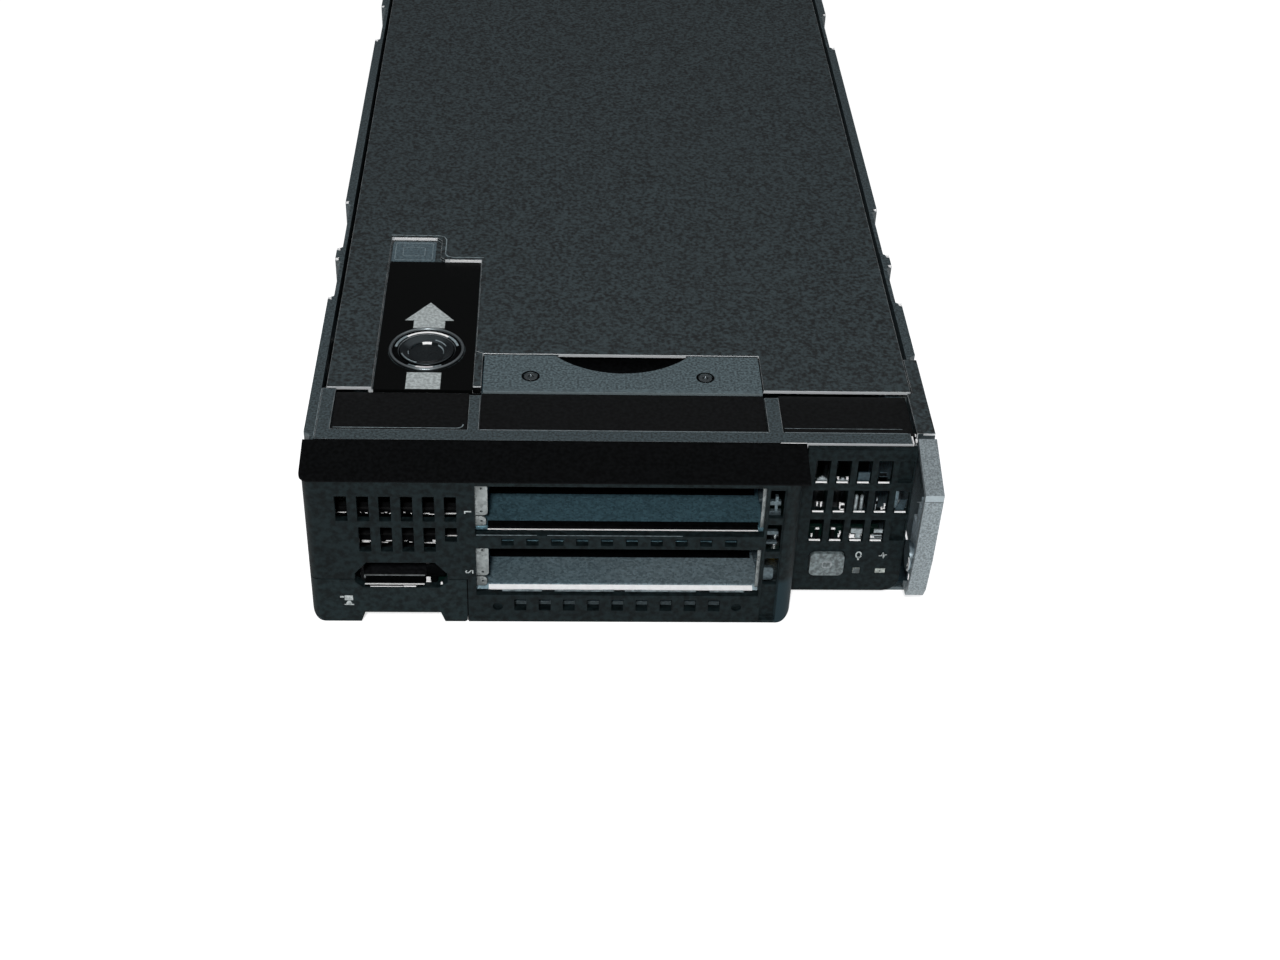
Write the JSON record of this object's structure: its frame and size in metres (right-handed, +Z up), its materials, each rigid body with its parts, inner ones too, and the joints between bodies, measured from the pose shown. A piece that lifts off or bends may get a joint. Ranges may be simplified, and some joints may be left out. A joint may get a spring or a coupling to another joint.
{
  "type": "blade server",
  "caption": "Half-height blade server with open drive bays, vented moulded front, sliding hood with push button, pull tab and swing-out release lever.",
  "frame": {"origin": "bottom centre of the bounding box", "axes": "+X to the right seen from the front, +Y from the front bezel to the rear connectors, +Z up through the hood"},
  "size_m": [0.1808, 0.5174, 0.0553],
  "materials": {
    "case_paint": "fine-grained blue-grey paint",
    "hood_paint": "fine-grained dark blue-grey paint",
    "black_plastic": "matte black",
    "bezel_plastic": "charcoal, lightly textured",
    "button_metal": "satin",
    "plated_steel": "dull nickel-like plating",
    "spring_steel": "bright",
    "screw_steel": "bright zinc",
    "lever_silver": "silver-grey metallic paint",
    "grey_plastic": "semi-translucent grey",
    "clear_plastic": "frosted",
    "circuit_board": "solder mask",
    "connector_plastic": "moulded",
    "brass": "bright",
    "bare_aluminium": "extruded",
    "can_aluminium": "satin",
    "choke_grey": "sintered grey",
    "cell_steel": "bright",
    "latch_plastic": "off-white"
  },
  "bodies": {
    "chassis": {"base_pan": "case_paint", "rear_wall": "case_paint", "front_bridge": "case_paint", "bridge_inserts": "black_plastic", "corner_bracket": "hood_paint", "cage_tab": "case_paint", "cage_screws": "screw_steel", "cage_sides": "plated_steel", "cage_decks": "plated_steel", "bay_springs": "spring_steel", "drive_backplane": "circuit_board", "drive_connectors": "connector_plastic", "front_bezel": "bezel_plastic", "vent_rails": "black_plastic", "top_band": "black_plastic", "right_panel": "bezel_plastic", "power_switch": "circuit_board", "light_pipes": "clear_plastic", "tab_guide": "black_plastic", "service_connector": "connector_plastic", "service_shell": "plated_steel", "service_board": "circuit_board", "lever_bracket": "plated_steel", "lever_pin": "spring_steel", "lever_spring": "spring_steel", "system_board": "circuit_board", "standoffs": "brass", "board_screws": "screw_steel", "cpu_sockets": "plated_steel", "heatsinks": "bare_aluminium", "heatsink_screws": "screw_steel", "memory_slots": "connector_plastic", "memory_modules": "circuit_board", "chipset_heatsink": "bare_aluminium", "storage_module": "circuit_board", "network_card": "circuit_board", "mezzanine_connectors": "connector_plastic", "capacitors": "can_aluminium", "chokes": "choke_grey", "cell_holder": "connector_plastic", "coin_cell": "cell_steel", "usb_socket": "plated_steel", "signal_connector": "connector_plastic", "power_connector": "connector_plastic", "guide_sockets": "plated_steel"},
    "hood": {"hood": "hood_paint", "button_rim": "button_metal", "button_cup": "black_plastic"},
    "hood_button": {"hood_button": "button_metal", "button_spring": "spring_steel"},
    "power_button": {"power_button": "grey_plastic"},
    "pull_tab": {"pull_tab": "bezel_plastic"},
    "release_lever": {"release_lever": "lever_silver", "latch_plate": "plated_steel"},
    "latch_button": {"latch_button": "button_metal"},
    "latches_a_front": {"latches_a_front": "latch_plastic"},
    "latches_a_rear": {"latches_a_rear": "latch_plastic"},
    "latches_b_front": {"latches_b_front": "latch_plastic"},
    "latches_b_rear": {"latches_b_rear": "latch_plastic"}
  },
  "joints": [
    {"name": "hood_slide", "type": "slide", "parent": "chassis", "child": "hood", "axis": [0, 1, 0], "range_m": [0, 0.014]},
    {"name": "hood_button_press", "type": "slide", "parent": "hood", "child": "hood_button", "axis": [0, 0, -1], "range_m": [0, 0.0015], "stiffness_N_per_m": 1500, "springref_m": -0.001},
    {"name": "power_press", "type": "slide", "parent": "chassis", "child": "power_button", "axis": [0, 1, 0], "range_m": [0, 0.0012], "stiffness_N_per_m": 1200, "springref_m": -0.0008},
    {"name": "tab_slide", "type": "slide", "parent": "chassis", "child": "pull_tab", "axis": [0, -1, 0], "range_m": [0, 0.062]},
    {"name": "lever_swing", "type": "hinge", "parent": "chassis", "child": "release_lever", "pos_m": [0.08635, -0.21125, 0.02], "axis": [0, 0, 1], "range_deg": [0, 70]},
    {"name": "latch_press", "type": "slide", "parent": "release_lever", "child": "latch_button", "axis": [1, 0, 0], "range_m": [0, 0.0006], "stiffness_N_per_m": 1500, "springref_m": -0.0005},
    {"name": "latches_a_front_swing", "type": "hinge", "parent": "chassis", "child": "latches_a_front", "pos_m": [0, -0.13465, 0.0168], "axis": [1, 0, 0], "range_deg": [0, 25]},
    {"name": "latches_a_rear_swing", "type": "hinge", "parent": "chassis", "child": "latches_a_rear", "pos_m": [0, 0.00415, 0.0168], "axis": [-1, 0, 0], "range_deg": [0, 25]},
    {"name": "latches_b_front_swing", "type": "hinge", "parent": "chassis", "child": "latches_b_front", "pos_m": [0, 0.03135, 0.0168], "axis": [1, 0, 0], "range_deg": [0, 25]},
    {"name": "latches_b_rear_swing", "type": "hinge", "parent": "chassis", "child": "latches_b_rear", "pos_m": [0, 0.17015, 0.0168], "axis": [-1, 0, 0], "range_deg": [0, 25]}
  ]
}
